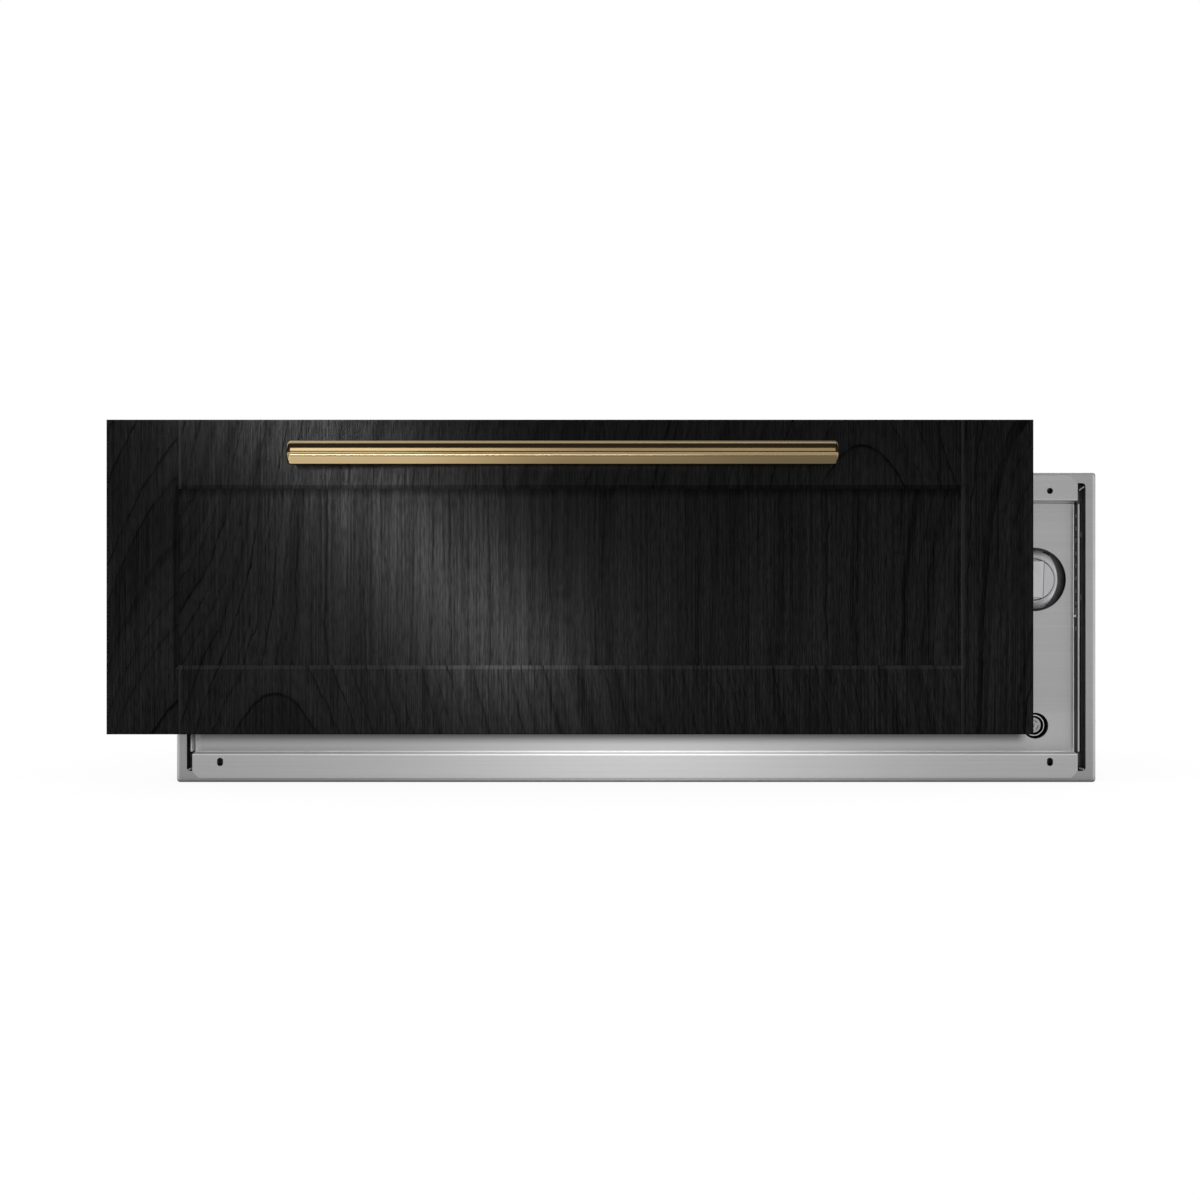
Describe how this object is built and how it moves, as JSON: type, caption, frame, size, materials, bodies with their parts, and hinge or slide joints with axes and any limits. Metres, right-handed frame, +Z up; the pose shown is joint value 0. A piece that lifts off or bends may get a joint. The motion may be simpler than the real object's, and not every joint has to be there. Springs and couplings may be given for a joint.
{
  "type": "built in warming drawer",
  "caption": "Built-in warming drawer: insulated heated case, telescopic drawer with tub and recessed controls, and a dark stained wood front panel with a brass bar handle.",
  "frame": {"origin": "underside of the case, midway across, in the plane of the cabinet's face", "axes": "+X to the right seen from the front, +Y into the cabinet, +Z up"},
  "size_m": [0.8133, 0.6707, 0.298],
  "materials": {
    "galvanised": "spangled zinc coat",
    "zinc_screw": "zinc plated",
    "dark_flange": "dark satin coat",
    "stainless": "horizontal brushed satin",
    "rubber_seal": "satin extruded rubber",
    "liner_steel": "mill finish",
    "mineral_wool": "matt fibre",
    "element_sheath": "dark oxidised sheath",
    "porcelain": "glazed",
    "black_plastic": "moulded",
    "zinc_slide": "bright zinc",
    "gasket": "high temperature rubber",
    "tub_steel": "satin drawn",
    "chrome_wire": "polished",
    "slider_steel": "satin",
    "bright_bowl": "polished stainless",
    "knob_satin": "satin face",
    "knob_grip_satin": "satin",
    "button_satin": "satin",
    "lens_clear": "clear polished",
    "copper_tube": "drawn copper",
    "stained_oak": "black stained open grain",
    "satin_brass": "brushed satin"
  },
  "bodies": {
    "chassis": {"case_bottom": "galvanised", "case_top": "galvanised", "case_left": "galvanised", "case_right": "galvanised", "case_back": "galvanised", "case_screws": "zinc_screw", "case_flange": "dark_flange", "front_surround": "stainless", "side_seals": "rubber_seal", "cavity_front_ring": "galvanised", "liner_top": "liner_steel", "liner_bottom": "liner_steel", "liner_left": "liner_steel", "liner_right": "liner_steel", "liner_back": "liner_steel", "insulation_wrap": "mineral_wool", "insulation_bottom": "mineral_wool", "insulation_back": "mineral_wool", "heating_element": "element_sheath", "element_brackets": "galvanised", "thermal_cutout": "porcelain", "junction_box": "galvanised", "junction_cover": "galvanised", "terminal_block": "porcelain", "cable_gland": "black_plastic", "anti_tip_bracket": "galvanised", "slide_outer_left": "zinc_slide", "slide_outer_right": "zinc_slide"},
    "drawer": {"front_plate": "stainless", "front_box": "galvanised", "front_insulation": "mineral_wool", "drawer_gasket": "gasket", "drawer_tub": "tub_steel", "tub_screws": "zinc_screw", "slide_inner_left": "zinc_slide", "slide_inner_right": "zinc_slide", "vent_guides": "black_plastic", "control_well": "galvanised", "knob_bezel": "bright_bowl", "thermostat_body": "galvanised", "thermostat_capillary": "copper_tube", "button_bezel": "bright_bowl", "power_switch": "black_plastic"},
    "slide_left": {"slide_middle_left": "zinc_slide"},
    "slide_right": {"slide_middle_right": "zinc_slide"},
    "rack": {"tub_rack": "chrome_wire"},
    "knob": {"control_knob": "knob_satin", "knob_grip": "knob_grip_satin", "thermostat_shaft": "zinc_screw"},
    "button": {"power_button": "button_satin", "pilot_lens": "lens_clear"},
    "vent": {"vent_slider": "slider_steel"},
    "panel": {"stile_left": "stained_oak", "stile_right": "stained_oak", "rail_top": "stained_oak", "rail_bottom": "stained_oak", "centre_panel": "stained_oak", "handle_bar": "satin_brass", "handle_posts": "satin_brass", "handle_screws": "zinc_screw"}
  },
  "joints": [
    {"name": "drawer_slide", "type": "slide", "parent": "chassis", "child": "drawer", "axis": [0, -1, 0], "range_m": [0, 0.45]},
    {"name": "slide_left_follow", "type": "slide", "parent": "chassis", "child": "slide_left", "axis": [0, -1, 0], "range_m": [0, 0.225]},
    {"name": "slide_right_follow", "type": "slide", "parent": "chassis", "child": "slide_right", "axis": [0, -1, 0], "range_m": [0, 0.225]},
    {"name": "rack_lift", "type": "slide", "parent": "drawer", "child": "rack", "axis": [0, 0, 1], "range_m": [0, 0.13]},
    {"name": "knob_turn", "type": "hinge", "parent": "drawer", "child": "knob", "pos_m": [0.331, 0, 0.1575], "axis": [0, 1, 0], "range_deg": [0, 270]},
    {"name": "button_press", "type": "slide", "parent": "drawer", "child": "button", "axis": [0, 1, 0], "range_m": [0, 0.0025], "stiffness_N_per_m": 500, "springref_m": -0.0005},
    {"name": "vent_slide", "type": "slide", "parent": "drawer", "child": "vent", "axis": [0, 0, 1], "range_m": [0, 0.0052]},
    {"name": "panel_fit", "type": "slide", "parent": "drawer", "child": "panel", "axis": [0.8076, 0, -0.5898], "range_m": [0, 0.06749]}
  ],
  "couplings": [
    {"joint": "slide_left_follow", "follows": "drawer_slide", "ratio": 0.5},
    {"joint": "slide_right_follow", "follows": "drawer_slide", "ratio": 0.5}
  ]
}
